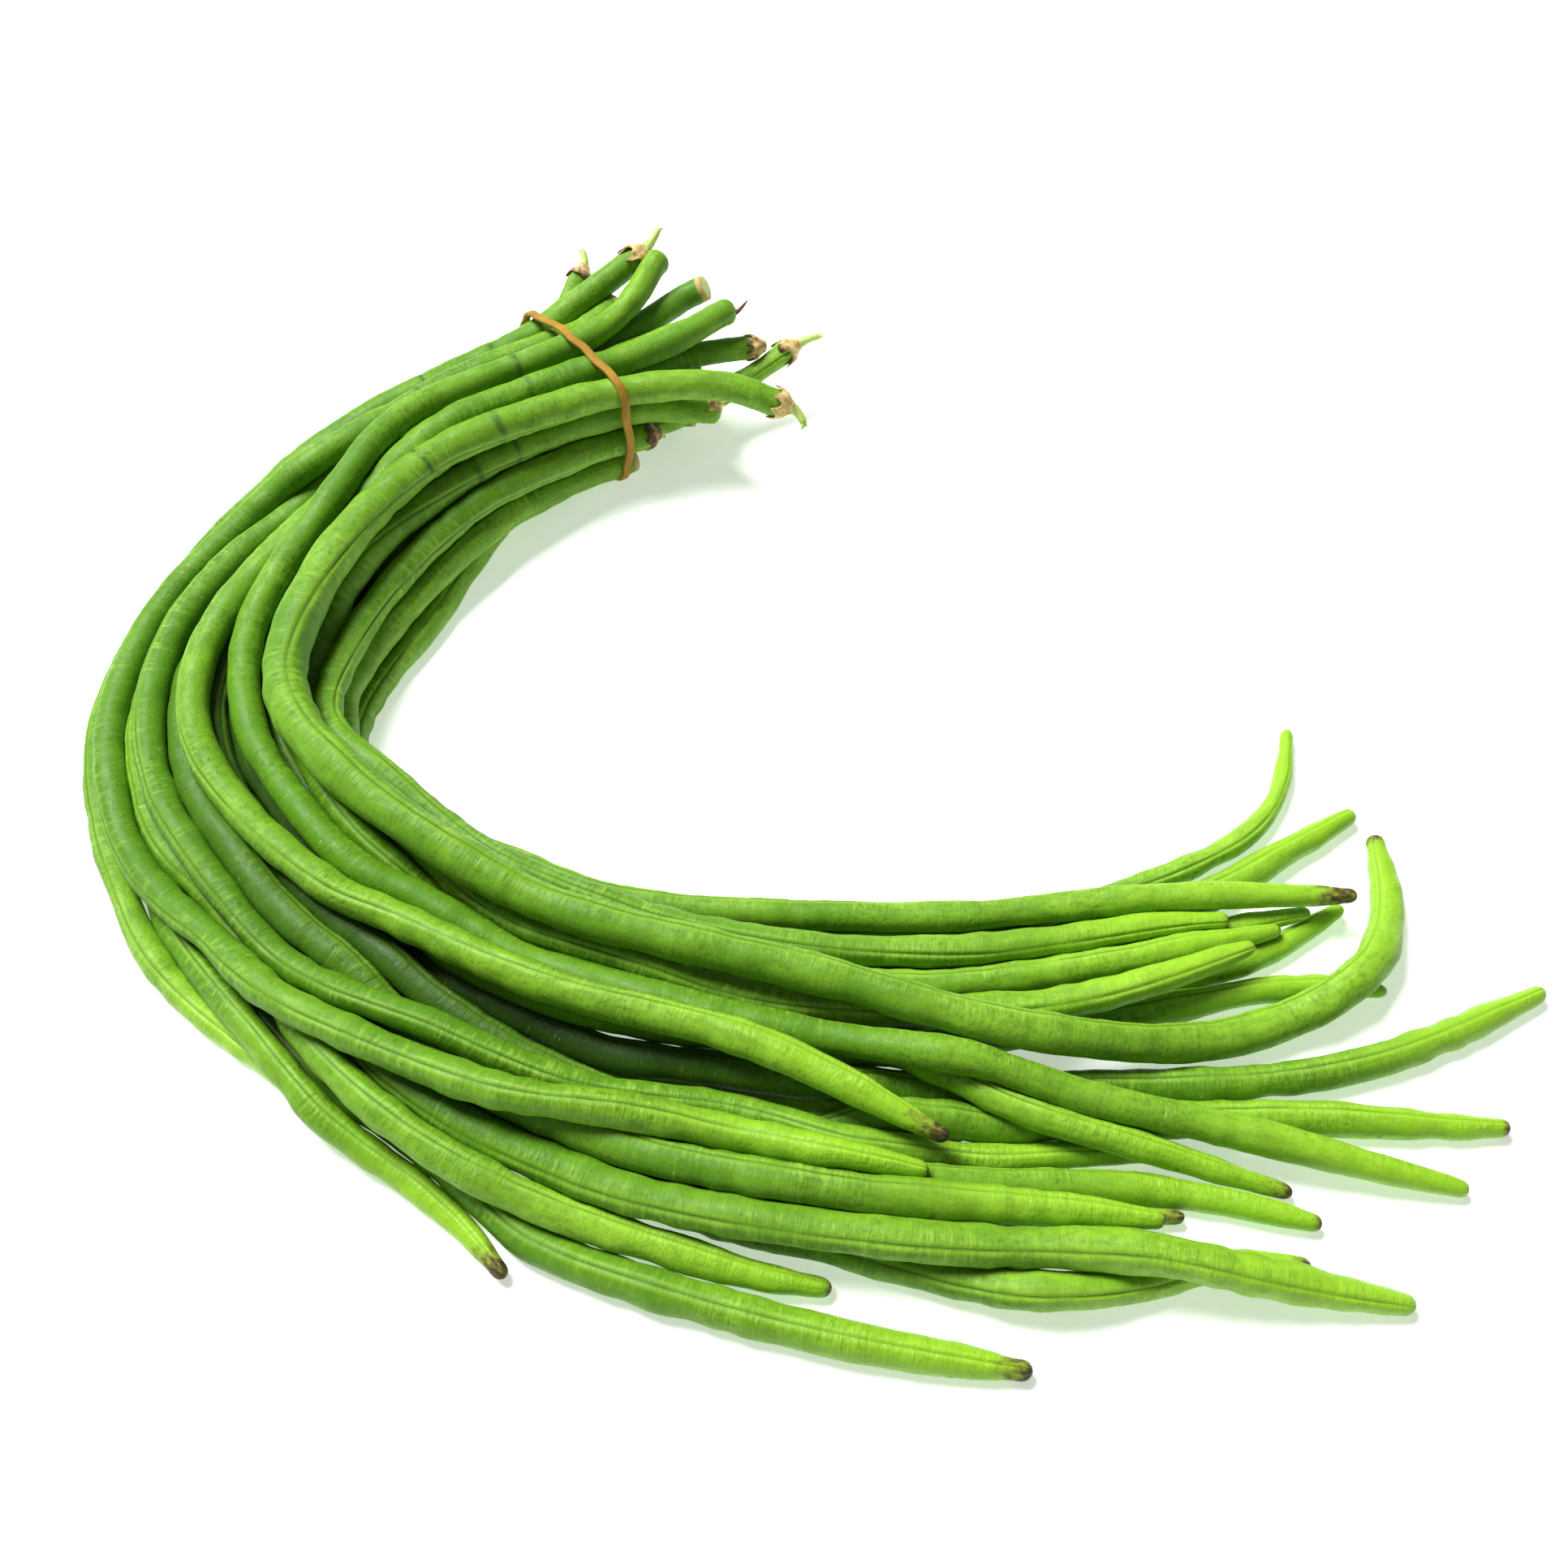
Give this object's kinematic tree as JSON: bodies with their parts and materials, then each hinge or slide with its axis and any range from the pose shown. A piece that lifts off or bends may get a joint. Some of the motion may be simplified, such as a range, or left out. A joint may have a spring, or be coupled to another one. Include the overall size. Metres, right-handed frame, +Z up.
{
  "type": "yardlong bean bunch",
  "caption": "Bunch of fresh yardlong bean pods held by a rubber band near the stem ends, lying on its side and bent round in a wide C with the tips fanned out.",
  "frame": {"origin": "middle of the bunch's bounding box, on the surface it lies on", "axes": "+X to the side that the pod tips point to, which is the longest side of the bunch as it lies; +Y across it, to the side where the stem ends and the rubber band are; +Z up from the surface, the shortest side"},
  "size_m": [0.4079, 0.3698, 0.0448],
  "materials": {
    "pod_skin": "fresh green plant skin, satin, finely wrinkled",
    "band_rubber": "tan natural rubber, matt"
  },
  "bodies": {
    "root": {"pod_01": "pod_skin", "pod_02": "pod_skin", "pod_03": "pod_skin", "pod_04": "pod_skin", "pod_05": "pod_skin", "pod_06": "pod_skin", "pod_07": "pod_skin", "pod_08": "pod_skin", "pod_09": "pod_skin", "pod_10": "pod_skin", "pod_11": "pod_skin", "pod_12": "pod_skin", "pod_13": "pod_skin", "pod_14": "pod_skin", "pod_15": "pod_skin", "pod_16": "pod_skin", "pod_17": "pod_skin", "pod_18": "pod_skin", "pod_19": "pod_skin", "pod_20": "pod_skin", "pod_21": "pod_skin", "pod_22": "pod_skin", "pod_23": "pod_skin", "pod_24": "pod_skin", "pod_25": "pod_skin", "pod_26": "pod_skin", "pod_27": "pod_skin", "pod_28": "pod_skin", "rubber_band": "band_rubber"}
  },
  "joints": []
}
